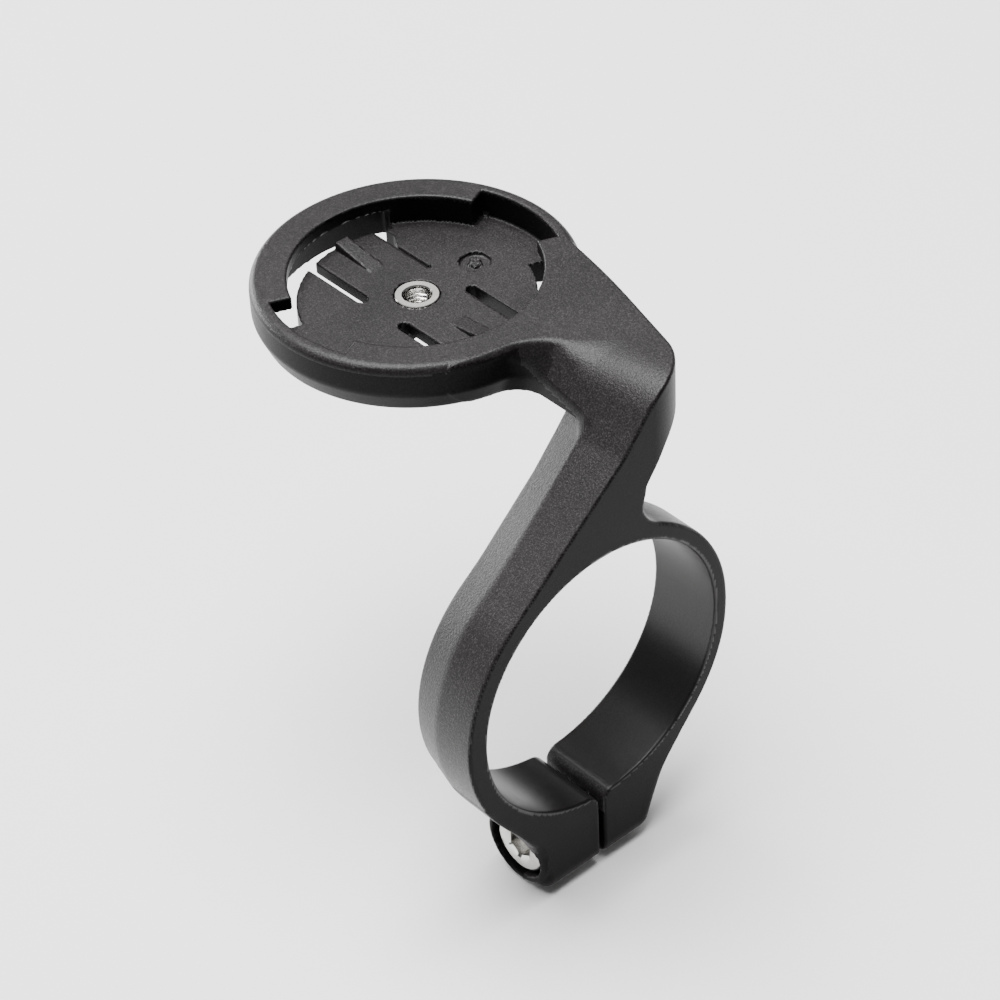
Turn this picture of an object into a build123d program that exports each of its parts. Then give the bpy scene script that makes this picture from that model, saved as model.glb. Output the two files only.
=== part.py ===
"""Handlebar mount for a cycling computer.

A split ring clamps on the bar beside the stem, and its arm rises and turns along the bar to
hold a quarter-turn socket over the stem. A socket-head bolt and a captive nut close the ring,
and a threaded insert sits in the middle of the socket's floor. The moulding is divided where
it bends: at the clamp jaw and at the two detent tongues.

Frame: origin at the centre of the clamp bore, Y along the bar, Z up, square to the socket.
All lengths are in millimetres and all angles in degrees.
"""

from build123d import *
from math import atan2, cos, degrees, radians, sin, sqrt
import os

os.makedirs("parts", exist_ok=True)

# Clamp ring
bar_radius = 31.8 / 2
half_width = 4.6
ring_radius = 18.02
ring_shift = -0.35
bevel_start = 0.6
bevel_depth = 1.0

# Arm
arm_slope = 40.35
elbow_right = 11.2
elbow_round = 3.5
elbow_round_z = 23.0
elbow_centre = (9.0, elbow_round - half_width)
elbow_bottom = (11.2, 27.8)
pillar_x = 5.8
pillar_top = (pillar_x, 20.65)

# Ears
ear_bottom = -25.8
gap_left = -1.2
gap_right = -0.5
jaw_angle = 58.0
flex_gap = 0.1

# Where the moulding is divided
socket_split_y = 10.0

# Clamp bolt (M4 x 12, socket head) and nut
bolt_z = -21.2
bolt_face_x = -8.7
bolt_head_radius = 3.5
bolt_head_height = 4.0
bolt_radius = 1.99
bolt_length = 12.0
bolt_hole_radius = 2.25
hex_key = 3.0
hex_key_depth = 2.0
counterbore_radius = 3.87
boss_radius = 4.55
boss_face_x = -9.0
nut_flats = 7.0
nut_height = 3.2
nut_inner_x = 2.6
nut_bore_radius = 2.15
pocket_play = 0.06

# Socket
head_x = 4.25
head_y = 27.34
top_z = 33.0
floor_top = 29.8
floor_bottom = 27.2
lip_bottom = 31.5
head_radius = 17.15
skirt_foot_radius = 16.1
skirt_band_z = 29.6
rim_round = 1.2
lip_radius = 13.2
wall_radius = 15.5
hole_radius = 12.45
notch_half = 22.5
stop_start = 20.0
stop_end = 62.0
hole_end = 160.0

# Neck between the elbow and the socket
neck_bevel_z = 30.0
neck_wall_x = 3.9
neck_top_x = 6.6

# Detent tongues
tongue_half = 3.9
slot_width = 1.3
slot_inner = 2.75
tongue_radius = 12.35
tongue_thickness = 1.4
tongue_gap = 0.08
rib_width = 1.7
rib_start = 6.2
rib_rise = 0.9

# Threaded insert (M3)
insert_flange_radius = 2.35
insert_flange_height = 0.6
insert_body_radius = 2.05
insert_hole_radius = 1.25

mid_slope = radians(arm_slope)
arm_along = Vector(cos(mid_slope), sin(mid_slope))
arm_normal = Vector(-sin(mid_slope), cos(mid_slope))
arm_foot = Vector(ring_shift, 0) + arm_normal * ring_radius
elbow_top_x = arm_foot.X + (top_z - arm_foot.Y) / arm_along.Y * arm_along.X
bolt_centre = Plane(origin=(0, 0, bolt_z), x_dir=(0, 1, 0), z_dir=(1, 0, 0))


def on_ring(angle, radius=ring_radius):
    """Point of the ring's outline at an angle from +X, seen along the bar."""
    return (ring_shift + radius * cos(radians(angle)), radius * sin(radians(angle)))


def polar(radius, angle):
    """Point at a radius and angle about the origin."""
    return (radius * cos(radians(angle)), radius * sin(radians(angle)))


def sector(inner, outer, start, end):
    """Face between two radii and two angles, drawn in the current sketch."""
    middle = (start + end) / 2
    with BuildLine() as outline:
        Line(polar(inner, start), polar(outer, start))
        ThreePointArc(polar(outer, start), polar(outer, middle), polar(outer, end))
        Line(polar(outer, end), polar(inner, end))
        ThreePointArc(polar(inner, end), polar(inner, middle), polar(inner, start))
    make_face(outline.edges())


def round_corners(sketch, corners):
    """Round the sketch's corner nearest each point to the radius given with it."""
    for point, radius in corners:
        fillet(sketch.vertices().sort_by_distance((*point, 0))[0], radius)


def socket_plane(z):
    """Plane across the socket at height z, centred on the socket."""
    return Plane(origin=(head_x, head_y, z))


# Side view of the ring, the ears and the arm, cut to the width of the clamp
ear_left_top = on_ring(225.5)
ear_right_top = on_ring(-52.0)
arm_outline = [
    (arm_foot.X, arm_foot.Y),
    (elbow_top_x, top_z),
    (elbow_right, top_z),
    elbow_bottom,
    pillar_top,
    (pillar_x, 14.0),
    (0.0, 8.0),
]
left_ear_outline = [
    ear_left_top,
    (-10.2, -17.9),
    (-9.0, -21.4),
    (-9.0, ear_bottom),
    (0, ear_bottom),
    (0, -8),
]
right_ear_outline = [ear_right_top, (7.4, -20.4), (5.7, ear_bottom), (0, ear_bottom), (0, -8)]

with BuildPart() as clamp_and_arm:
    with BuildSketch(Plane.XZ) as side_view:
        with Locations((ring_shift, 0)):
            Circle(ring_radius)
        for outline in (arm_outline, left_ear_outline, right_ear_outline):
            with BuildLine():
                Polyline(*outline, close=True)
            make_face()
        Circle(bar_radius, mode=Mode.SUBTRACT)
        with Locations(((gap_left + gap_right) / 2, -20)):
            Rectangle(gap_right - gap_left, 16, mode=Mode.SUBTRACT)
        round_corners(
            side_view,
            [
                ((pillar_x, sqrt(ring_radius**2 - (pillar_x - ring_shift) ** 2)), 2.4),
                (pillar_top, 0.8),
                (elbow_bottom, 3.0),
                (ear_left_top, 5.0),
                ((-10.2, -17.9), 4.0),
                ((-9.0, -21.4), 3.0),
                ((-9.0, ear_bottom), 1.5),
                (ear_right_top, 5.0),
                ((7.4, -20.4), 4.0),
                ((5.7, ear_bottom), 1.3),
                ((gap_left, -bar_radius), 1.3),
                ((gap_right, -bar_radius), 1.3),
            ],
        )
    extrude(amount=half_width, both=True)


def bevelled(edge):
    """True on the far outer edge, from the elbow down the arm and round the ring to the ear."""
    middle = edge @ 0.5
    along_arm = abs(arm_normal.dot(Vector(middle.X, middle.Z)) - arm_normal.dot(arm_foot)) < 0.2
    round_ring = middle.X < -9.5 and Vector(middle.X, 0, middle.Z).length > bar_radius + 1
    return along_arm or round_ring


with clamp_and_arm:
    far_face = clamp_and_arm.faces().sort_by(Axis.Y)[-1]
    bevel_edges = far_face.outer_wire().edges().filter_by(bevelled)
    chamfer(bevel_edges, bevel_depth, half_width - bevel_start, reference=far_face)
    # Upright edge at the near side of the elbow
    with BuildSketch(Plane.XY.offset(elbow_round_z)):
        with Locations(elbow_centre):
            Rectangle(9, 9, align=(Align.MIN, Align.MAX))
            Circle(elbow_round, mode=Mode.SUBTRACT)
    extrude(amount=top_z - elbow_round_z, mode=Mode.SUBTRACT)
    # Boss round the bolt head
    with BuildSketch(bolt_centre.offset(boss_face_x)):
        Circle(boss_radius)
    extrude(amount=4)


def neck_outline(left):
    """Neck seen from above, from the elbow to under the socket; left is its inner wall's X."""
    with BuildLine() as outline:
        corner = CenterArc(elbow_centre, elbow_round, -90, 90)
        right = Spline(corner @ 1, (15.0, 3.4), (16.6, 9.2), (18.3, 14.4), (20.9, 24.0))
        Line(right @ 1, (17.0, 21.0))
        Line((17.0, 21.0), (-1.5, 14.4))
        inner = ThreePointArc((-1.5, 14.4), (left - 1.1, 9.9), (left, 6.0))
        Line(inner @ 1, (left, 4.8))
        Line((left, 4.8), corner @ 0)
    make_face(outline.edges())


# Outer shape of the moulding, with the socket still solid
with BuildPart() as outer_shape:
    add(clamp_and_arm.part)
    with BuildSketch(Plane.XY.offset(floor_bottom)):
        neck_outline(neck_wall_x)
    extrude(amount=neck_bevel_z - floor_bottom)
    with BuildSketch(Plane.XY.offset(neck_bevel_z)):
        neck_outline(neck_wall_x)
    with BuildSketch(Plane.XY.offset(top_z)):
        neck_outline(neck_top_x)
    loft(ruled=True)
    # Round body of the socket
    with BuildSketch(Plane.XZ.offset(-head_y)) as head_profile:
        with BuildLine():
            Polyline(
                (head_x, floor_bottom),
                (head_x + skirt_foot_radius, floor_bottom),
                (head_x + head_radius, skirt_band_z),
                (head_x + head_radius, top_z),
                (head_x, top_z),
                close=True,
            )
        make_face()
        round_corners(head_profile, [((head_x + head_radius, top_z), rim_round)])
    revolve(axis=Axis((head_x, head_y, 0), (0, 0, 1)))

# Hollow of the socket: the way in, the undercut that the lugs turn into, and the floor's holes
with BuildPart() as socket_hollow:
    with BuildSketch(socket_plane(floor_top)):
        Circle(lip_radius)
    extrude(amount=top_z - floor_top + 1)
    with BuildSketch(socket_plane(floor_top)):
        for half_turn in (0, 180):
            sector(lip_radius - 1, wall_radius, stop_end + half_turn, 180 + stop_start + half_turn)
    extrude(amount=lip_bottom - floor_top)
    with BuildSketch(socket_plane(lip_bottom)):
        for half_turn in (0, 180):
            sector(lip_radius - 1, wall_radius, half_turn - notch_half, half_turn + notch_half)
    extrude(amount=top_z - lip_bottom + 1)
    with BuildSketch(socket_plane(floor_bottom - 2)):
        for half_turn in (0, 180):
            sector(hole_radius, wall_radius, stop_end + half_turn, hole_end + half_turn)
            # Room for a detent tongue and the slots beside it
            with Locations(Rotation(0, 0, half_turn)):
                with Locations((0, (slot_inner - tongue_gap + hole_radius + 1) / 2)):
                    Rectangle(2 * tongue_half, hole_radius + 1 - slot_inner + tongue_gap)
                slot_x = tongue_half + slot_width / 2
                slot_end = hole_radius + 2
                for side in (-1, 1):
                    with Locations((side * slot_x, (slot_inner + slot_end) / 2)):
                        SlotOverall(slot_end - slot_inner, slot_width, rotation=90)
    extrude(amount=floor_top - floor_bottom + 2)

with BuildPart() as insert_hole:
    with BuildSketch(socket_plane(floor_bottom)):
        Circle(insert_body_radius)
    extrude(amount=floor_top - floor_bottom)
    with BuildSketch(socket_plane(floor_top)):
        Circle(insert_flange_radius)
    extrude(amount=-insert_flange_height)

# Bolt's path through both ears, and the nut's pocket
with BuildPart() as bolt_path:
    with BuildSketch(bolt_centre.offset(boss_face_x - 1)):
        Circle(bolt_hole_radius)
    extrude(amount=20)
    with BuildSketch(bolt_centre.offset(bolt_face_x + bolt_head_height)):
        Circle(counterbore_radius)
    extrude(amount=-8)
    with BuildSketch(bolt_centre.offset(nut_inner_x)):
        RegularPolygon((nut_flats / 2 + pocket_play), 6, major_radius=False, rotation=90)
    extrude(amount=8)

with BuildPart() as moulding:
    add(outer_shape.part)
    with BuildSketch(Plane.XZ):
        Circle(bar_radius)
    extrude(amount=2 * half_width, both=True, mode=Mode.SUBTRACT)
    add(socket_hollow.part, mode=Mode.SUBTRACT)
    add(insert_hole.part, mode=Mode.SUBTRACT)
    add(bolt_path.part, mode=Mode.SUBTRACT)


def save(part, name):
    """Label a finished piece and write it as its own STEP file."""
    part.label = name
    export_step(part, f"parts/{name}.step")


# Regions that divide the moulding where it bends
gap_middle = (gap_left + gap_right) / 2
reach = 60
arm_foot_angle = degrees(atan2(arm_foot.Y, arm_foot.X))
flex_offset = Vector(sin(radians(jaw_angle)), -cos(radians(jaw_angle))) * flex_gap

with BuildPart() as jaw_region:
    with BuildSketch(Plane.XZ):
        with BuildLine():
            Polyline(
                (gap_middle, -reach),
                (gap_middle, 0),
                (0, 0),
                polar(24, jaw_angle),
                (24, 20),
                (reach, -reach),
                close=True,
            )
        make_face()
    extrude(amount=half_width + 0.1, both=True)

with BuildPart() as jaw_region_clear:
    add(jaw_region.part.moved(Location((flex_offset.X, 0, flex_offset.Y))))
    with BuildSketch(Plane.YZ.offset(gap_middle)):
        Rectangle(reach, 2 * reach)
    extrude(amount=reach, mode=Mode.INTERSECT)

with BuildPart() as band_region:
    with BuildSketch(Plane.XZ):
        with BuildLine():
            Polyline(
                (gap_middle, -reach),
                (gap_middle, 0),
                (0, 0),
                polar(reach, arm_foot_angle),
                (-reach, 0),
                (-reach, -reach),
                close=True,
            )
        make_face()
    extrude(amount=half_width + 0.1, both=True)

with BuildPart() as socket_region:
    with Locations((0, socket_split_y, 0)):
        Box(2 * reach, reach, 2 * reach, align=(Align.CENTER, Align.MIN, Align.CENTER))

# Round socket with its lips, stops and floor
with BuildPart() as socket:
    add(moulding.part)
    add(socket_region.part, mode=Mode.INTERSECT)
save(socket.part, "socket")

# Arm, from its saddle on the bar to the neck
with BuildPart() as arm:
    add(moulding.part)
    for region in (socket_region, jaw_region, band_region):
        add(region.part, mode=Mode.SUBTRACT)
save(arm.part, "arm")

# Fixed side of the clamp ring, with the bolt's ear
with BuildPart() as clamp_band:
    add(moulding.part)
    add(band_region.part, mode=Mode.INTERSECT)
save(clamp_band.part, "clamp_band")

# Side of the clamp ring that bends, with the nut's ear
with BuildPart() as clamp_jaw:
    add(moulding.part)
    add(jaw_region_clear.part, mode=Mode.INTERSECT)
save(clamp_jaw.part, "clamp_jaw")


# Sprung tongues of the socket's floor, each with a rib that holds the computer's lugs
for name, half_turn in (("far_detent_tongue", 0), ("near_detent_tongue", 180)):
    with BuildPart() as tongue:
        with BuildSketch(Plane.XY.offset(floor_top - tongue_thickness)):
            Circle(tongue_radius)
            with Locations((0, slot_inner)):
                Rectangle(
                    2 * tongue_half, reach, align=(Align.CENTER, Align.MIN), mode=Mode.INTERSECT
                )
        extrude(amount=tongue_thickness)
        with BuildSketch(Plane.YZ) as rib_side:
            with BuildLine():
                Polyline(
                    (rib_start, floor_top),
                    (tongue_radius - 0.15, floor_top + rib_rise),
                    (tongue_radius - 0.15, floor_top - 0.5),
                    (rib_start, floor_top - 0.5),
                    close=True,
                )
            make_face()
        extrude(amount=rib_width / 2, both=True)
    placed = tongue.part.moved(Location((head_x, head_y, 0), (0, 0, half_turn)))
    save(placed, name)

with BuildPart() as threaded_insert:
    add(insert_hole.part)
    with BuildSketch(socket_plane(floor_bottom)):
        Circle(insert_hole_radius)
    extrude(amount=floor_top - floor_bottom, mode=Mode.SUBTRACT)
save(threaded_insert.part, "threaded_insert")

with BuildPart() as clamp_bolt:
    with BuildSketch(bolt_centre.offset(bolt_face_x)):
        Circle(bolt_head_radius)
    extrude(amount=bolt_head_height)
    with BuildSketch(bolt_centre.offset(bolt_face_x + bolt_head_height)):
        Circle(bolt_radius)
    extrude(amount=bolt_length)
    fillet(clamp_bolt.edges().filter_by(GeomType.CIRCLE).sort_by(Axis.X)[0], 0.5)
    chamfer(clamp_bolt.edges().filter_by(GeomType.CIRCLE).sort_by(Axis.X)[-1], 0.4)
    with BuildSketch(bolt_centre.offset(bolt_face_x)):
        RegularPolygon(hex_key / 2, 6, major_radius=False)
    extrude(amount=hex_key_depth, mode=Mode.SUBTRACT)
save(clamp_bolt.part, "clamp_bolt")

with BuildPart() as clamp_nut:
    with BuildSketch(bolt_centre.offset(nut_inner_x)):
        RegularPolygon(nut_flats / 2, 6, major_radius=False, rotation=90)
        Circle(nut_bore_radius, mode=Mode.SUBTRACT)
    extrude(amount=nut_height)
    chamfer(clamp_nut.edges().filter_by(GeomType.CIRCLE), 0.3)
save(clamp_nut.part, "clamp_nut")
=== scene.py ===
from math import cos, pi, radians, sin, sqrt

import bmesh
import bpy
import numpy as np
from mathutils import Matrix, Vector


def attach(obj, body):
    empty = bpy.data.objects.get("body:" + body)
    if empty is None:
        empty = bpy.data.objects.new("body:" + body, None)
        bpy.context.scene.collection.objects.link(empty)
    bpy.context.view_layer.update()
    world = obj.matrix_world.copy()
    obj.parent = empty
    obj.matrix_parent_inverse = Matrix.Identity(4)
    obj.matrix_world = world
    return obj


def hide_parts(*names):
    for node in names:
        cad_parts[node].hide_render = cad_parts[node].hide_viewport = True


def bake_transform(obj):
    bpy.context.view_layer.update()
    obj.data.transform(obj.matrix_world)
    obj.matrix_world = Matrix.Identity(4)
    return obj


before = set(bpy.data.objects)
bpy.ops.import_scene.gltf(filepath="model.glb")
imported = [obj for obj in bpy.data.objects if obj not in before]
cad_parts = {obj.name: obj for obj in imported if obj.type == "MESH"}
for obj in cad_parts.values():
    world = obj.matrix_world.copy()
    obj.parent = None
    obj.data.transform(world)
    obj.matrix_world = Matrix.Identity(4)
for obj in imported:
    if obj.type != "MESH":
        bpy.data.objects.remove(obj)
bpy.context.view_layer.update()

MM = 0.001
GRID_STEP = 0.25

# ---------------------------------------------------------------- sizes that the CAD has too
BAR_R = 15.9
HALF_W = 4.6
RING_R, RING_X = 18.02, -0.35
ARM_SLOPE = radians(40.35)
HEAD_X, HEAD_Y = 4.25, 27.34
TOP_Z, FLOOR_TOP, FLOOR_BOTTOM, LIP_BOTTOM = 33.0, 29.8, 27.2, 31.5
HEAD_R, SKIRT_FOOT_R, SKIRT_BAND_Z = 17.15, 16.1, 29.6
LIP_R, WALL_R, HOLE_R = 13.2, 15.5, 12.45
NOTCH_HALF_DEG, STOP_START_DEG, STOP_END_DEG, HOLE_END_DEG = 22.5, 20.0, 62.0, 160.0
TONGUE_HALF, TONGUE_R, TONGUE_T = 3.9, 12.35, 1.4
SLOT_W, SLOT_INNER = 1.3, 2.75
RIB_W, RIB_START, RIB_RISE = 1.7, 6.2, 0.9
BOLT_Z, BOLT_R, BOLT_LENGTH, BOLT_PITCH = -21.2, 1.99, 12.0, 0.7
BOLT_FACE_X, BOLT_HEAD_R, BOLT_HEAD_H = -8.7, 3.5, 4.0
BOLT_HOLE_R, COUNTERBORE_R = 2.25, 3.87
BOSS_R, BOSS_X = 4.55, -9.0
NUT_FLATS, NUT_H, NUT_X, NUT_BORE_R, NUT_PLAY = 7.0, 3.2, 2.6, 2.15, 0.06
EAR_BOTTOM = -25.6
GAP_LEFT, GAP_RIGHT = -1.2, -0.5
GAP_MIDDLE = (GAP_LEFT + GAP_RIGHT) / 2
FLANGE_R, FLANGE_T, INSERT_R, INSERT_THREAD_R = 2.35, 0.6, 2.05, 1.5

# ---------------------------------------------------------------- sizes of the visible shape only
BEVEL_Y, RING_BEVEL_DEG = 0.5, 14       # where the bevel starts on the ring and ears, and its lean
ARM_FOOT_Z = 4.0                        # the arm starts here and grows out of the ring
ARM_CREASE = ((0, 6, 12, 19, 22.5, 26), (0.4, 0.5, 0.8, 1.2, 1.8, 3.2))      # along the arm, y
ARM_BEVEL_DEG = ((0, 12, 22), (14, 20, 25))                                  # along the arm, lean
FAR_WALL = ((-8, 0, 3, 6), (HALF_W, 5.2, 5.8, 6.4))                          # x, y
NECK_WALL_X, ELBOW_R = 3.95, 5.0
NECK_RIGHT_X, NECK_SPREAD, NECK_BOW, NECK_BOW_Y = 14.03, 0.286, 0.005, 8
RAMP_X, RAMP_Y, RAMP_SLOPE = 6.6, 5.0, (-0.85, -0.12, 0.51)
RAMP_END_Y, RAMP_LIFT = (7, 12), 1.5    # where the ramp ends, lifted clear of the neck
LEVEL_Y = 7.0                           # beyond this, nothing hangs below the socket's floor
EAR_TOP_Z, BOSS_INNER_X = -9.0, -5.0
# Straight sides in the side view: a point (x, z) and the direction that the side faces
EAR_LEFT_UPPER, EAR_LEFT_LOWER = (-10.2, -17.9, -0.876, -0.482), (-9.0, -21.4, -0.946, -0.324)
EAR_RIGHT_UPPER, EAR_RIGHT_LOWER = (7.4, -20.4, 0.881, -0.474), (5.7, -25.8, 0.954, -0.3)
ARM_UNDERSIDE = (-9.75, 0, 0.799, -0.602)
FOOT_LEFT_R, FOOT_RIGHT_R, FOOT_FAR_R, FOOT_NEAR_R = 1.4, 1.3, 3.0, 2.0
PILLAR_X, PILLAR_TOP_Z = 5.85, 20.4     # right side and top of the web behind the ring
PILLAR_CORNER_R, UNDER_CORNER_R = 1.5, 2.5
EDGE_R, FAR_EDGE_R, CUT_EDGE_R = 0.3, 0.35, 0.25
ARM_BLEND, NECK_BLEND, RING_BLEND, EAR_BLEND = 0.12, 0.3, 0.1, 0.2      # along the bevels' creases
EAR_SIDE_BLEND, EAR_RING_BLEND = 1.0, 1.6
RIM_R, SKIRT_EDGE_R, GAP_ROOT_R = 1.0, 0.5, 1.5
GATE_X, GATE_Y, GATE_R, GATE_DEPTH = 8.12, 0.19, 1.7, 0.45
STUB_R, STUB_DROP, STUB_RAGGED, STUB_TORN = 0.75, 0.15, 0.12, 0.1
RIB_SHORT = 0.15                        # the rib ends this far before the tongue's tip
CUT_ABOVE = 1.2                         # how far above the floor the slots still cut

# Values that change smoothly between two places: the places, and the values there
NECK_CORNER_R = ((5, 9), (3.0, 0.05))                   # along x
NECK_END_Y = ((4, 8), (12.5, 27.0))                     # along x
NECK_BEVEL_DEG = ((6, 9), (42, 49))                     # along y
NECK_BEVEL_W = ((6.5, 12.5), (2.7, 0.3))                # along y
ELBOW_CLEAR = ((18, 22), (9.0, 0.0))                    # along z
ARM_NECK_BLEND = ((1, 4), (1.5, 0.5))                   # along y
TOP_BLEND = ((3, 8), (3.2, 0.4))                        # along y
RING_FILLET_R = ((-2, 3), (0.05, 2.35))                 # along x
NEAR_EDGE_R = ((-19, -15), (1.1, 0.35))                 # along z
NARROW_SLOT_W = ((8, 10), (0.4, SLOT_W))                # away from the insert, on the far tongue's right


# ---------------------------------------------------------------- shape by distance functions
def smooth_min(a, b, k):
    """Union of two distances with a soft blend about k wide."""
    h = np.clip(0.5 + 0.5 * (b - a) / k, 0, 1)
    return b + (a - b) * h - k * h * (1 - h)


def smooth_max(a, b, k):
    """Intersection of two distances with a soft blend about k wide."""
    return -smooth_min(-a, -b, k)


def round_min(a, b, r):
    """Union with a round fillet of radius r."""
    inside = np.hypot(np.maximum(r - a, 0), np.maximum(r - b, 0))
    return np.maximum(r, np.minimum(a, b)) - inside


def round_max(a, b, r):
    """Intersection with a round edge of radius r."""
    outside = np.hypot(np.maximum(r + a, 0), np.maximum(r + b, 0))
    return np.minimum(-r, np.maximum(a, b)) + outside


def soft_step(v, low, high):
    """0 below low, 1 above high, and an S-curve between."""
    t = np.clip((v - low) / (high - low), 0, 1)
    return t * t * (3 - 2 * t)


def changing(v, table):
    """Value at v of one of the tables of values that change smoothly."""
    (low, high), (first, last) = table
    return first + (last - first) * soft_step(v, low, high)


def lean(angle):
    """Cosine and sine of a bevel's angle in degrees."""
    return np.cos(np.radians(angle)), np.sin(np.radians(angle))


def far_wall(x, y):
    """Far wall of the arm, seen from above, negative inside."""
    return y - np.interp(x, *FAR_WALL)


def skirt(x, y, z):
    """Round wall of the socket, drawn in below the band."""
    taper = (HEAD_R - SKIRT_FOOT_R) / (SKIRT_BAND_Z - FLOOR_BOTTOM)
    reach = np.hypot(x - HEAD_X, y - HEAD_Y) - HEAD_R
    return smooth_max(reach, (reach + (SKIRT_BAND_Z - z) * taper) / sqrt(1 + taper**2), 0.15)


def neck_wall(x, y, z):
    """Inner wall of the neck with its round corner into the socket's wall."""
    return round_min(NECK_WALL_X - x, skirt(x, y, z), changing(x, NECK_CORNER_R))


def near_corner(x, y, z):
    """Near face of the clamp and arm, turning at the elbow into the neck's right side."""
    bow = NECK_BOW * np.maximum(y - NECK_BOW_Y, 0) ** 2
    right = (x - NECK_RIGHT_X - NECK_SPREAD * y + bow) / sqrt(1 + NECK_SPREAD**2)
    return round_max(-HALF_W - y, right - changing(z, ELBOW_CLEAR), ELBOW_R)


def arm(x, y, z):
    """Sloping arm with the bevel on its far edge."""
    along = (x - RING_X) * cos(ARM_SLOPE) + z * sin(ARM_SLOPE)
    slope = z * cos(ARM_SLOPE) - (x - RING_X) * sin(ARM_SLOPE) - RING_R
    crease = np.interp(along, *ARM_CREASE)
    c, s = lean(np.interp(along, *ARM_BEVEL_DEG))
    top = smooth_max(slope, c * slope + s * (y - crease), ARM_BLEND)
    return np.maximum(round_max(top, far_wall(x, y), EDGE_R), np.maximum(ARM_FOOT_Z - z, -along))


def neck(x, y, z):
    """Level neck from the elbow to the socket, with a ramp down to the arm and a bevel on its left."""
    ramp = RAMP_SLOPE[0] * (x - RAMP_X) + RAMP_SLOPE[1] * (y - RAMP_Y) + RAMP_SLOPE[2] * (z - TOP_Z)
    c, s = lean(changing(y, NECK_BEVEL_DEG))
    plan = neck_wall(x, y, z)
    bevel = c * (z - TOP_Z) + s * (plan + changing(y, NECK_BEVEL_W))
    lift = RAMP_LIFT * soft_step(y, *RAMP_END_Y) * (y - RAMP_END_Y[0])
    top = smooth_max(ramp - lift, bevel, NECK_BLEND)
    ends = np.maximum(y - changing(x, NECK_END_Y), FLOOR_BOTTOM - z)
    return np.maximum(round_max(top, plan, EDGE_R), ends)


def bevelled(side, y, k):
    """A side of the ring or an ear, with the long bevel on its far half."""
    c, s = lean(RING_BEVEL_DEG)
    return smooth_max(side, c * side + s * (y - BEVEL_Y), k)


def straight(x, z, side):
    """Straight side in the side view, negative inside."""
    through_x, through_z, across, up = side
    return across * (x - through_x) + up * (z - through_z)


def clamp(x, y, z):
    """Ring and ears, with their far face and the rounded foot of the ears."""
    ring = bevelled(np.hypot(x - RING_X, z) - RING_R, y, RING_BLEND)
    left = np.minimum(straight(x, z, EAR_LEFT_UPPER), straight(x, z, EAR_LEFT_LOWER))
    left = bevelled(smooth_min(left, BOSS_X - x, EAR_SIDE_BLEND), y, EAR_BLEND)
    right = smooth_min(straight(x, z, EAR_RIGHT_UPPER), straight(x, z, EAR_RIGHT_LOWER), EAR_SIDE_BLEND)
    foot = EAR_BOTTOM - z
    ears = np.maximum(round_max(left, foot, FOOT_LEFT_R), round_max(right, foot, FOOT_RIGHT_R))
    both = smooth_min(ring, np.maximum(ears, z - EAR_TOP_Z), EAR_RING_BLEND)
    return round_max(both, round_max(y - HALF_W, foot, FOOT_FAR_R), FAR_EDGE_R)


def underside(x, z):
    """Lower side of the arm, the hollow behind the ring, and the neck's underside, negative inside."""
    behind = np.maximum(x - PILLAR_X, z - PILLAR_TOP_Z)
    under = round_min(straight(x, z, ARM_UNDERSIDE), behind, PILLAR_CORNER_R)
    return round_min(under, FLOOR_BOTTOM - z, UNDER_CORNER_R)


def side_view(x, y, z):
    """Ring, arm, neck and ears, not yet cut by the near face."""
    upper = smooth_min(arm(x, y, z), neck(x, y, z), changing(y, ARM_NECK_BLEND))
    upper = smooth_max(upper, z - TOP_Z, changing(y, TOP_BLEND))
    upper = np.maximum(upper, underside(x, z))
    return round_min(clamp(x, y, z), upper, changing(x, RING_FILLET_R))


def clamp_and_arm(x, y, z):
    """Everything but the socket, solid where the bar, the bolt and the gap go."""
    near = round_max(near_corner(x, y, z), EAR_BOTTOM - z, FOOT_NEAR_R)
    body = round_max(side_view(x, y, z), near, changing(z, NEAR_EDGE_R))
    boss = np.hypot(y, z - BOLT_Z) - BOSS_R
    boss = round_max(boss, np.maximum(BOSS_X - x, x - BOSS_INNER_X), EDGE_R)
    return smooth_min(body, boss, EDGE_R)


def head(x, y, z):
    """Round body of the socket, still solid."""
    return round_max(round_max(skirt(x, y, z), z - TOP_Z, RIM_R), FLOOR_BOTTOM - z, SKIRT_EDGE_R)


def wedge(x, y, start, end):
    """Angle range about the socket's axis, under half a turn, negative inside."""
    a, b = radians(start), radians(end)
    return np.maximum(x * sin(a) - y * cos(a), y * cos(b) - x * sin(b))


def socket_hollow(x, y, z):
    """Space inside the socket: way in, undercut, notches and the floor's holes."""
    x, y = x - HEAD_X, y - HEAD_Y
    reach = np.hypot(x, y)
    way_in = widened_mouth(reach - LIP_R, TOP_Z - z, CUT_EDGE_R)
    space = np.maximum(way_in, FLOOR_TOP - z)
    for turn in (0, 180):
        undercut = np.maximum(reach - WALL_R, wedge(x, y, STOP_END_DEG + turn, 180 + STOP_START_DEG + turn))
        undercut = round_max(undercut, np.maximum(FLOOR_TOP - z, z - LIP_BOTTOM), 0.2)
        notch = np.maximum(reach - WALL_R, wedge(x, y, turn - NOTCH_HALF_DEG, turn + NOTCH_HALF_DEG))
        notch = widened_mouth(notch, TOP_Z - z, CUT_EDGE_R)
        notch = round_max(notch, FLOOR_TOP - z, 0.6)
        hole = round_max(reach - WALL_R, wedge(x, y, STOP_END_DEG + turn, HOLE_END_DEG + turn), 0.5)
        hole = np.maximum(np.maximum(hole, HOLE_R - reach), z - FLOOR_TOP - 0.4)
        for part in (undercut, notch, hole):
            space = np.minimum(space, part)
    return space


def widened_mouth(space, depth, r):
    """Widens a space towards its mouth, so that the solid's edge there is round with radius r."""
    return np.minimum(space, round_min(space, depth, r))


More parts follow.
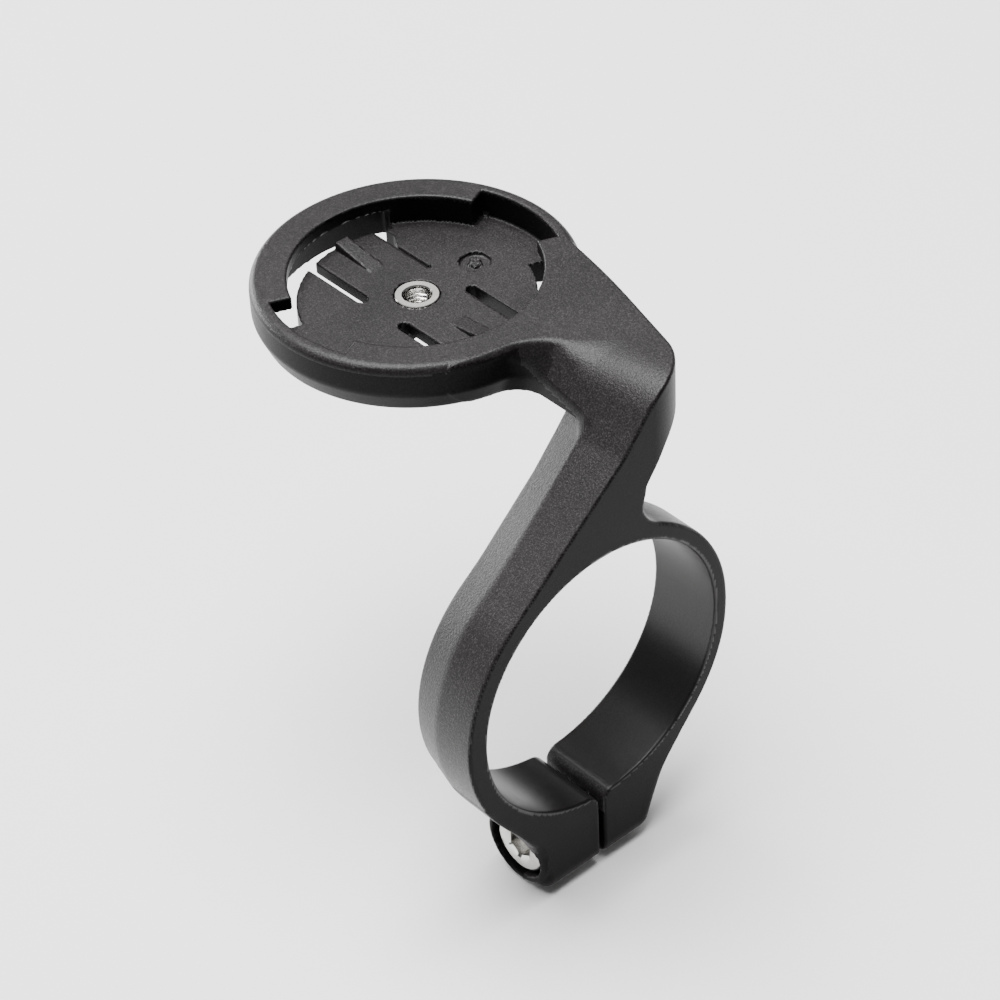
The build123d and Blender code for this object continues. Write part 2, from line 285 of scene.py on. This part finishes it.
def slots(x, y, z):
    """Slots beside both tongues, and the thinning under the tongues."""
    narrow = (x > HEAD_X) & (y > HEAD_Y)
    x, y = x - HEAD_X, np.abs(y - HEAD_Y)
    width = np.where(narrow, changing(y, NARROW_SLOT_W), SLOT_W)
    across = np.abs(np.abs(x) - TONGUE_HALF - width / 2)
    inner = SLOT_INNER + width / 2
    slot = np.hypot(across, np.minimum(y - inner, 0)) - width / 2
    reach = np.hypot(x, y)
    slot = np.maximum(slot, reach - HOLE_R - 1.5)
    past_tip = reach - HOLE_R - 0.6
    tip = np.maximum(np.maximum(TONGUE_R - reach, past_tip), np.maximum(np.abs(x) - 5, 5 - y))
    thinned = round_max(np.abs(x) - TONGUE_HALF - 0.3, SLOT_INNER + 0.3 - y, 0.5)
    thinned = np.maximum(np.maximum(thinned, past_tip), z - FLOOR_TOP + TONGUE_T)
    return np.maximum(np.minimum(np.minimum(slot, tip), thinned), z - FLOOR_TOP - CUT_ABOVE)


def ribs(x, y, z):
    """Wedge on each tongue that the computer's foot snaps over."""
    x, y = x - HEAD_X, np.abs(y - HEAD_Y)
    end = TONGUE_R - RIB_SHORT
    slope = RIB_RISE / (end - RIB_START)
    top = (z - FLOOR_TOP - slope * (y - RIB_START)) / sqrt(1 + slope**2)
    sides = np.abs(x) - RIB_W / 2 - 0.12 * (FLOOR_TOP + RIB_RISE - z)
    wedge_shape = round_max(round_max(top, sides, 0.12), y - end, 0.15)
    return np.maximum(np.maximum(wedge_shape, FLOOR_TOP - 0.4 - z), RIB_START - 0.5 - y)


def gate_mark(x, y, z):
    """Round recess left by the moulding gate, with a torn stub in the middle."""
    x, y = x - HEAD_X - GATE_X, y - HEAD_Y - GATE_Y
    reach = np.hypot(x, y)
    dish = round_max(np.maximum(reach - GATE_R, z - FLOOR_TOP - 0.5), FLOOR_TOP - GATE_DEPTH - z, CUT_EDGE_R)
    stub = reach - STUB_R - STUB_RAGGED * np.sin(5 * np.arctan2(y, x) + 0.7)
    torn = STUB_TORN * np.sin(7 * x) * np.sin(6 * y)
    return np.maximum(dish, -np.maximum(stub, z - FLOOR_TOP + STUB_DROP + torn))


def moulding(x, y, z):
    """The whole moulding, negative inside."""
    outside = smooth_min(clamp_and_arm(x, y, z), head(x, y, z), 0.15)
    outside = np.maximum(outside, np.maximum(z - TOP_Z, np.minimum(FLOOR_BOTTOM - z, y - LEVEL_Y)))
    outside = np.maximum(outside, -HALF_W - y)
    # Clamp bore with the gap, and the bolt's path
    bore = np.hypot(x, z) - BAR_R
    gap = np.maximum(np.abs(x - GAP_MIDDLE) - (GAP_RIGHT - GAP_LEFT) / 2, z - EAR_TOP_Z)
    solid = round_max(outside, -round_min(bore, gap, GAP_ROOT_R), CUT_EDGE_R)
    off_axis = np.hypot(y, z - BOLT_Z)
    head_room = np.maximum(off_axis - COUNTERBORE_R, x - BOLT_FACE_X - BOLT_HEAD_H)
    across_flats = np.maximum(np.abs(y), 0.5 * np.abs(y) + 0.866 * np.abs(z - BOLT_Z))
    nut_room = np.maximum(across_flats - NUT_FLATS / 2 - NUT_PLAY, NUT_X - x)
    solid = np.maximum(solid, -np.minimum(np.minimum(off_axis - BOLT_HOLE_R, head_room), nut_room))
    # Socket
    space = np.minimum(socket_hollow(x, y, z), slots(x, y, z))
    reach = np.hypot(x - HEAD_X, y - HEAD_Y)
    flange_room = np.maximum(reach - FLANGE_R - 0.1, FLOOR_TOP - FLANGE_T - z)
    insert_room = np.minimum(reach - INSERT_R - 0.01, flange_room)
    space = np.minimum(np.minimum(space, insert_room), gate_mark(x, y, z))
    solid = np.maximum(solid, -space)
    return np.minimum(solid, np.maximum(ribs(x, y, z), -slots(x, y, z)))


# ---------------------------------------------------------------- from distances to a mesh
CORNERS = np.array([(i, j, k) for i in (0, 1) for j in (0, 1) for k in (0, 1)])
EDGES = [(a, b) for a in range(8) for b in range(a + 1, 8) if abs(CORNERS[a] - CORNERS[b]).sum() == 1]


def gradient(shape, p, reach):
    """Slope of a distance function at each point."""
    slopes = []
    for axis in range(3):
        offset = np.zeros(3)
        offset[axis] = reach
        slopes.append(shape(*(p + offset).T) - shape(*(p - offset).T))
    return np.stack(slopes, 1) / (2 * reach)


def surface(shape, low, high, step):
    """Points, four-sided faces and outward normals of the surface where shape is zero."""
    axes = [np.arange(a, b + step, step) for a, b in zip(low, high)]
    sizes = [len(a) for a in axes]
    value = np.empty(sizes, np.float32)
    for i, x in enumerate(axes[0]):
        value[i] = shape(np.full((1, 1), x), axes[1][:, None], axes[2][None, :])
    inside = value < 0
    count = sum(inside[i:sizes[0] - 1 + i, j:sizes[1] - 1 + j, k:sizes[2] - 1 + k].astype(np.int8)
                for i, j, k in CORNERS)
    cells = np.argwhere((count > 0) & (count < 8))
    origin, total, hits = np.array(low), np.zeros((len(cells), 3)), np.zeros((len(cells), 1))
    corner = [value[tuple((cells + c).T)].astype(float) for c in CORNERS]
    for a, b in EDGES:
        crosses = (corner[a] < 0) != (corner[b] < 0)
        t = np.where(crosses, corner[a] / np.where(crosses, corner[a] - corner[b], 1), 0)[:, None]
        total += np.where(crosses[:, None], CORNERS[a] + t * (CORNERS[b] - CORNERS[a]), 0)
        hits += crosses[:, None]
    points = origin + (cells + total / hits) * step
    # Move each point onto the surface, no further than half a cell
    start = points.copy()
    for _ in range(3):
        slope = gradient(shape, points, 0.2 * step)
        move = shape(*points.T)[:, None] * slope / np.maximum((slope**2).sum(1, keepdims=True), 0.2)
        points = start + np.clip(points - move - start, -0.5 * step, 0.5 * step)
    # Join the four cells round every grid edge that crosses the surface
    number = np.full(count.shape, -1, np.int64)
    number[tuple(cells.T)] = np.arange(len(cells))
    quads = []
    for axis in range(3):
        u, v = [a for a in range(3) if a != axis]
        first = np.take(inside, range(sizes[axis] - 1), axis)
        last = np.take(inside, range(1, sizes[axis]), axis)
        edge = np.argwhere(first != last)
        for side in (u, v):
            edge = edge[(edge[:, side] > 0) & (edge[:, side] < sizes[side] - 1)]
        ring = []
        for du, dv in ((1, 1), (0, 1), (0, 0), (1, 0)):
            near = edge.copy()
            near[:, u] -= du
            near[:, v] -= dv
            ring.append(number[tuple(near.T)])
        ring = np.stack(ring, 1)
        flip = first[tuple(edge.T)] == (axis == 1)
        ring[flip] = ring[flip][:, ::-1]
        quads.append(ring)
    normals = gradient(shape, points, 0.12 * step)
    normals /= np.maximum(np.linalg.norm(normals, axis=1, keepdims=True), 1e-9)
    return points, np.concatenate(quads), normals


def add_mesh(name, points, faces, normals=None):
    """Mesh object from points in millimetres."""
    mesh = bpy.data.meshes.new(name)
    mesh.from_pydata((np.array(points) * MM).tolist(), [], faces)
    mesh.validate()
    mesh.shade_smooth()
    if normals is not None:
        mesh.normals_split_custom_set_from_vertices(normals.tolist())
    obj = bpy.data.objects.new(name, mesh)
    bpy.context.scene.collection.objects.link(obj)
    return obj


def part_of(points, faces, normals, keep):
    """The faces for which keep is true, with only the points that they use."""
    faces = faces[keep]
    used, renumbered = np.unique(faces, return_inverse=True)
    return points[used], renumbered.reshape(faces.shape), normals[used]


# ---------------------------------------------------------------- materials
CLOUDS, COARSE_GRAIN, GLOSS_SPOTS, SPECKS_AND_GLINTS, FINE_GRAIN = 90, 3800, 5000, 6500, 8000     # per metre
STEEL_CLOUDS, STEEL_WEAR = 400, 900


def material(name):
    """New material with its node tree and its shader."""
    made = bpy.data.materials.new(name)
    made.use_nodes = True
    nodes, links = made.node_tree.nodes, made.node_tree.links
    return made, nodes, links, nodes["Principled BSDF"]


def noise(nodes, links, scale, detail, rough=0.55):
    """Noise texture in object space, scale in features per metre."""
    place = nodes.new("ShaderNodeTexCoord")
    texture = nodes.new("ShaderNodeTexNoise")
    texture.inputs["Scale"].default_value = scale
    texture.inputs["Detail"].default_value = detail
    texture.inputs["Roughness"].default_value = rough
    links.new(place.outputs["Object"], texture.inputs["Vector"])
    return texture.outputs["Fac"]


def ramp(nodes, links, source, stops):
    """Colour ramp over (place, grey value or colour) stops."""
    made = nodes.new("ShaderNodeValToRGB")
    while len(made.color_ramp.elements) < len(stops):
        made.color_ramp.elements.new(0.5)
    for element, (place, value) in zip(made.color_ramp.elements, stops):
        element.position = place
        element.color = (value, value, value, 1) if isinstance(value, float) else (*value, 1)
    links.new(source, made.inputs["Fac"])
    return made.outputs["Color"]


def bump(nodes, links, shader, layers):
    """Chain of bump layers, each a height, a strength and a depth in millimetres."""
    previous = None
    for height, strength, depth in layers:
        made = nodes.new("ShaderNodeBump")
        made.inputs["Strength"].default_value = strength
        made.inputs["Distance"].default_value = depth * MM
        links.new(height, made.inputs["Height"])
        if previous:
            links.new(previous, made.inputs["Normal"])
        previous = made.outputs["Normal"]
    links.new(previous, shader.inputs["Normal"])


def plastic(name, base, rough, grain, gloss_and_painted_glint, specular):
    """Black glass-filled nylon; grain is the depth of its texture in mm, and the argument after it the glint
    of its fibres, which makes spots glossier and is painted into the colour as bright specks, a painted
    highlight.
    """
    made, nodes, links, shader = material(name)
    shader.inputs["Specular IOR Level"].default_value = specular
    tone = noise(nodes, links, CLOUDS, 4)
    dark, light = tuple(0.8 * c for c in base), tuple(1.25 * c for c in base)
    # Specks vary the colour at random, and the brightest ones are painted highlights: the glint of the glass
    # fibres painted into the base colour.
    speck_and_glint_noise = noise(nodes, links, SPECKS_AND_GLINTS, 1.0)
    specks_and_painted_glints = ramp(nodes, links, speck_and_glint_noise, [(0.35, 0.55), (0.55, 1.0), (0.68, 1.0 + 10 * gloss_and_painted_glint)])
    mixed = nodes.new("ShaderNodeVectorMath")
    mixed.operation = "MULTIPLY"
    links.new(ramp(nodes, links, tone, [(0.3, dark), (0.7, light)]), mixed.inputs[0])
    links.new(specks_and_painted_glints, mixed.inputs[1])
    links.new(mixed.outputs["Vector"], shader.inputs["Base Color"])
    fine = noise(nodes, links, FINE_GRAIN, 2.0, 0.6)
    coarse = noise(nodes, links, COARSE_GRAIN, 2.0, 0.6)
    gloss = noise(nodes, links, GLOSS_SPOTS, 1.0)
    links.new(ramp(nodes, links, gloss, [(0.35, rough - gloss_and_painted_glint), (0.6, rough)]), shader.inputs["Roughness"])
    bump(nodes, links, shader, [(coarse, 0.9, grain), (fine, 0.9, grain * 0.6)])
    return made


def steel(name, rough, scratch):
    """Stainless steel with uneven gloss; scratch is the depth of its scratches in mm."""
    made, nodes, links, shader = material(name)
    shader.inputs["Metallic"].default_value = 1.0
    tone = noise(nodes, links, STEEL_CLOUDS, 4)
    links.new(ramp(nodes, links, tone, [(0.3, (0.60, 0.59, 0.57)), (0.7, (0.76, 0.75, 0.73))]),
              shader.inputs["Base Color"])
    wear = noise(nodes, links, STEEL_WEAR, 5, 0.7)
    links.new(ramp(nodes, links, wear, [(0.3, rough * 0.7), (0.75, rough * 1.5)]), shader.inputs["Roughness"])
    bump(nodes, links, shader, [(wear, 0.4, scratch)])
    return made


TEXTURED = plastic("textured_nylon", (0.0145, 0.0132, 0.0135), 0.42, grain=0.05, gloss_and_painted_glint=0.12, specular=0.22)
SMOOTH = plastic("smooth_nylon", (0.005, 0.0042, 0.0045), 0.42, grain=0.012, gloss_and_painted_glint=0.05, specular=0.06)
EDGE = plastic("edge_nylon", (0.0098, 0.0087, 0.009), 0.42, grain=0.03, gloss_and_painted_glint=0.08, specular=0.14)
BORE = plastic("bore_nylon", (0.008, 0.007, 0.0073), 0.32, grain=0.008, gloss_and_painted_glint=0.03, specular=0.28)
STEEL = steel("stainless_steel", 0.2, scratch=0.01)
FINISHES = (TEXTURED, SMOOTH, BORE, EDGE)

# ---------------------------------------------------------------- the moulding
GRID_LOW, GRID_HIGH = (-19.5, -5.6, -27.1), (23.0, 46.0, 34.4)
points, quads, normals = surface(moulding, GRID_LOW, GRID_HIGH, GRID_STEP)
points[:, 2] = np.minimum(points[:, 2], TOP_Z)
middle_x, middle_y, middle_z = points[quads].mean(1).T
_, facing_y, facing_z = normals[quads].mean(1).T
from_bar = np.hypot(middle_x, middle_z)

# Faces of each tongue
TONGUE_EDGE = 0.08
from_head_x, from_head_y = middle_x - HEAD_X, middle_y - HEAD_Y
on_tongue = (np.abs(from_head_x) < TONGUE_HALF + SLOT_W / 2) & (np.abs(from_head_y) > SLOT_INNER)
on_tongue &= np.hypot(from_head_x, from_head_y) < TONGUE_R + TONGUE_EDGE
on_tongue &= (middle_z > FLOOR_BOTTOM + 0.4) & (middle_z < LIP_BOTTOM)
on_far = on_tongue & (from_head_y > 0)
on_near = on_tongue & (from_head_y < 0)

# Faces of the jaw: right of the gap and below its root, without the arm and the web behind the ring
JAW_ROOT_DEG, JAW_TOP_Z, JAW_R = 67, 18.6, 19.5
WEB_X, WEB_Z, WEB_R = 7.2, 15.8, 18.3
on_jaw = (middle_x > GAP_MIDDLE) & (np.degrees(np.arctan2(middle_z, middle_x)) < JAW_ROOT_DEG)
on_jaw &= (middle_y < HALF_W + 0.3) & (middle_z < JAW_TOP_Z)
on_jaw &= (from_bar < JAW_R) | (middle_z < 0)
on_jaw &= ~((middle_x < WEB_X) & (middle_z > WEB_Z) & (from_bar > WEB_R))

# The moulding is textured on its top face and bevels, and smooth on its sides and in its hollows.
# A narrow band between the two finishes has values between theirs.
EAR_SMOOTH_Z, NECK_SMOOTH_Z = -19.0, 26.5
in_bore = from_bar < BAR_R + 0.3
low, high = middle_z < EAR_SMOOTH_Z, middle_z > NECK_SMOOTH_Z
is_textured = ~in_bore & (facing_y > -0.6) & (~low | (facing_y > 0.2)) & (~high | (facing_z > 0.3))
on_edge = is_textured & ((facing_y < -0.4) | (high & (facing_z < 0.5)))
on_edge |= ~is_textured & ~in_bore & ~low & (facing_y > -0.8) & (facing_z > 0.05)
finish = np.select([on_edge, is_textured, in_bore], [3, 0, 2], 1).astype(np.int32)


def shell(name, keep, *replaced):
    """Piece of the moulding made of the faces for which keep is true."""
    part_points, part_faces, part_normals = part_of(points, quads, normals, keep)
    obj = add_mesh(name, part_points, part_faces.tolist(), part_normals)
    for made in FINISHES:
        obj.data.materials.append(made)
    obj.data.polygons.foreach_set("material_index", finish[keep])
    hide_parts(*replaced)
    return obj


mount = shell("mount_moulding", ~(on_tongue | on_jaw), "socket", "arm", "clamp_band")
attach(mount, "mount")
jaw = shell("jaw_moulding", on_jaw, "clamp_jaw")
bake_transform(jaw)
for name, keep, side in (("far", on_far, 1), ("near", on_near, -1)):
    tongue = shell(name + "_tongue_moulding", keep, name + "_detent_tongue")
    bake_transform(tongue)

# ---------------------------------------------------------------- bolt, nut and insert
SHARP_DEG = 35
PIN = 0.01          # radius of the point that closes a surface at its axis
KEY_FLATS, KEY_DEPTH = 3.0, 1.9
THREAD_R, THREAD_START, TIP_BEVEL = 1.62, 0.4, 0.4
INSERT_PITCH, INSERT_CREST_R = 0.5, 1.22


def circle(place, along, radius, sides):
    """Ring of points about an axis."""
    return [place(along, radius, 2 * pi * k / sides) for k in range(sides)]


def skin(rings):
    """Points and faces of a surface through rings that have the same number of points."""
    sides = len(rings[0])
    faces = []
    for i in range(len(rings) - 1):
        for k in range(sides):
            n = (k + 1) % sides
            faces.append((i * sides + k, i * sides + n, (i + 1) * sides + n, (i + 1) * sides + k))
    return [p for ring in rings for p in ring], faces


def turned(profile, place, sides=48):
    """Surface of a profile of (along, radius) pairs turned about an axis."""
    return skin([circle(place, along, radius, sides) for along, radius in profile])


def thread(start, end, major, minor, pitch, place, sides=48, rows_per_turn=8):
    """Screw-thread surface from start to end along an axis, run out at both ends."""
    rows = int((end - start) / pitch * rows_per_turn)
    rings = []
    for i in range(rows + 1):
        along = start + (end - start) * i / rows
        fade = float(soft_step(along, start, start + pitch) * (1 - soft_step(along, end - pitch, end)))
        ring = []
        for k in range(sides):
            phase = (along / pitch - k / sides) % 1
            depth = min(1.0, abs(2 * phase - 1) * 1.25) * fade
            ring.append(place(along, major - (major - minor) * depth, 2 * pi * k / sides))
        rings.append(ring)
    return skin(rings)


def along_bolt(along, radius, turn):
    """Point about the bolt's axis."""
    return (along, radius * cos(turn), BOLT_Z + radius * sin(turn))


def along_socket(along, radius, turn):
    """Point about the socket's axis."""
    return (HEAD_X + radius * cos(turn), HEAD_Y + radius * sin(turn), along)


def hexagon_at(place, along, flats, sides, turned_by=0.0):
    """Ring of points round a hexagon, with as many points as the circle that it meets."""
    ring = []
    for k in range(sides):
        turn = 2 * pi * k / sides
        within = (turn - turned_by + pi / 6) % (pi / 3) - pi / 6
        ring.append(place(along, flats / 2 / cos(within), turn))
    return ring


def join(meshes):
    """One mesh from several (points, faces) pairs."""
    points, faces = [], []
    for more_points, more_faces in meshes:
        faces += [tuple(i + len(points) for i in f) for f in more_faces]
        points += more_points
    return points, faces


def metal_piece(name, meshes, body, replaced):
    """Steel piece with edges sharper than SHARP_DEG kept crisp."""
    points, faces = join(meshes)
    obj = add_mesh(name, points, faces)
    shape = bmesh.new()
    shape.from_mesh(obj.data)
    bmesh.ops.remove_doubles(shape, verts=shape.verts, dist=1e-6)
    bmesh.ops.recalc_face_normals(shape, faces=shape.faces)
    for edge in shape.edges:
        edge.smooth = len(edge.link_faces) == 2 and edge.calc_face_angle() < radians(SHARP_DEG)
    shape.to_mesh(obj.data)
    shape.free()
    obj.data.materials.append(STEEL)
    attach(obj, body)
    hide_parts(replaced)


def bolt_meshes(sides=96):
    """Socket head with its hexagon, the shank's thread and the tip."""
    face, under = BOLT_FACE_X, BOLT_FACE_X + BOLT_HEAD_H
    tip = under + BOLT_LENGTH
    rings = [circle(along_bolt, face + KEY_DEPTH + 0.05, PIN, sides)]
    rings.append(hexagon_at(along_bolt, face + KEY_DEPTH, KEY_FLATS - 0.08, sides))
    rings.append(hexagon_at(along_bolt, face + 0.22, KEY_FLATS, sides))
    rounding = ((0, 1.92), (0, 2.95), (0.08, 3.2), (0.28, 3.42), (0.55, BOLT_HEAD_R))
    flank = ((BOLT_HEAD_H - 0.15, BOLT_HEAD_R), (BOLT_HEAD_H, 3.38), (BOLT_HEAD_H, 2.15))
    for along, radius in rounding + flank:
        rings.append(circle(along_bolt, face + along, radius, sides))
    start, end = under + THREAD_START, tip - TIP_BEVEL
    shank = thread(start, end, BOLT_R, THREAD_R, BOLT_PITCH, along_bolt)
    neck = turned([(under, 2.15), (under + 0.2, BOLT_R), (start, BOLT_R)], along_bolt)
    point = turned([(end, BOLT_R), (tip, 1.6), (tip, PIN)], along_bolt)
    return [skin(rings), shank, neck, point]


def nut_meshes(sides=96):
    """Hexagon nut with a plain bore, bevelled on its corners and in the bore's mouths."""
    start, end = NUT_X, NUT_X + NUT_H
    bevel, corner_r, mouth_r = 0.2, 3.3, 2.4
    rings = [circle(along_bolt, start, corner_r, sides)]
    for along in (start + bevel, end - bevel):
        rings.append(hexagon_at(along_bolt, along, NUT_FLATS, sides, pi / 2))
    inside = ((end, corner_r), (end, mouth_r), (end - bevel, NUT_BORE_R), (start + bevel, NUT_BORE_R),
              (start, mouth_r), (start, corner_r))
    rings += [circle(along_bolt, along, radius, sides) for along, radius in inside]
    return [skin(rings)]


def insert_meshes():
    """Flanged insert, flush with the socket's floor, with its inner thread."""
    top, foot, flange = FLOOR_TOP, FLOOR_BOTTOM, FLOOR_TOP - FLANGE_T
    mouth = top - 0.15
    outside = [(foot, INSERT_THREAD_R), (foot, INSERT_R), (flange, INSERT_R), (flange, FLANGE_R - 0.05),
               (top - 0.08, FLANGE_R), (top, FLANGE_R - 0.08), (top, 1.62), (mouth, INSERT_THREAD_R)]
    radii = (INSERT_CREST_R, INSERT_THREAD_R)
    inside = thread(foot, mouth, *radii, INSERT_PITCH, along_socket, rows_per_turn=10)
    return [turned(outside, along_socket), inside]


metal_piece("bolt_with_thread", bolt_meshes(), "bolt", "clamp_bolt")
metal_piece("hex_nut", nut_meshes(), "jaw", "clamp_nut")
metal_piece("insert_with_thread", insert_meshes(), "mount", "threaded_insert")

# ---------------------------------------------------------------- floor, light and camera
FLOOR_Z, FLOOR_HALF, FLOOR_GREY = -0.0262, 2.0, 0.92
CAMERA_AZ, CAMERA_EL, CAMERA_ROLL = radians(-39.87), radians(39.20), radians(-2.89)
CAMERA_DISTANCE, CAMERA_RIGHT, CAMERA_UP = 339.7, -7.63, 16.12
CAMERA_LENS = 3.299                     # focal length over the sensor's width
SENSOR_W = 36

mesh = bpy.data.meshes.new("floor")
mesh.from_pydata([(FLOOR_HALF * i, FLOOR_HALF * j, FLOOR_Z) for i, j in ((-1, -1), (1, -1), (1, 1), (-1, 1))],
                 [], [(0, 1, 2, 3)])
floor = bpy.data.objects.new("floor", mesh)
bpy.context.scene.collection.objects.link(floor)
made, _, _, shader = material("pale_floor")
shader.inputs["Base Color"].default_value = (FLOOR_GREY, FLOOR_GREY, FLOOR_GREY, 1)
shader.inputs["Roughness"].default_value = 0.8
floor.data.materials.append(made)

world = bpy.data.worlds.new("studio")
bpy.context.scene.world = world
world.use_nodes = True
world.node_tree.nodes["Background"].inputs["Color"].default_value = (1, 1, 1, 1)
world.node_tree.nodes["Background"].inputs["Strength"].default_value = 0.12

LIT_POINT = Vector((0.004, 0.012, 0.01))


def area_light(name, azimuth, elevation, distance, size, power):
    """Soft light that looks at the object; azimuth is its bearing from +X towards +Y. Lengths in metres."""
    light = bpy.data.lights.new(name, "AREA")
    light.energy = power
    light.shape = "RECTANGLE"
    light.size, light.size_y = size
    obj = bpy.data.objects.new(name, light)
    way = Vector((cos(elevation) * cos(azimuth), cos(elevation) * sin(azimuth), sin(elevation)))
    obj.location = way * distance + LIT_POINT
    obj.rotation_euler = way.to_track_quat("Z", "Y").to_euler()
    bpy.context.scene.collection.objects.link(obj)


area_light("behind", radians(97), radians(8), distance=0.7, size=(0.5, 0.3), power=5.5)
area_light("above", radians(110), radians(80), distance=0.8, size=(0.7, 0.7), power=25.0)
area_light("glint", radians(50), radians(39), distance=0.8, size=(0.4, 0.4), power=0.6)

back = Vector((sin(CAMERA_AZ) * cos(CAMERA_EL), -cos(CAMERA_AZ) * cos(CAMERA_EL), sin(CAMERA_EL)))
right = Vector((cos(CAMERA_AZ), sin(CAMERA_AZ), 0))
up = back.cross(right)
right, up = right * cos(CAMERA_ROLL) + up * sin(CAMERA_ROLL), up * cos(CAMERA_ROLL) - right * sin(CAMERA_ROLL)
view = bpy.data.cameras.new("camera")
view.sensor_width = SENSOR_W
view.lens = CAMERA_LENS * SENSOR_W
view.clip_start, view.clip_end = 0.01, 20
camera = bpy.data.objects.new("camera", view)
place = (back * CAMERA_DISTANCE + right * CAMERA_RIGHT + up * CAMERA_UP) * MM
camera.matrix_world = Matrix.Translation(place) @ Matrix((right, up, back)).transposed().to_4x4()
bpy.context.scene.collection.objects.link(camera)
bpy.context.scene.camera = camera
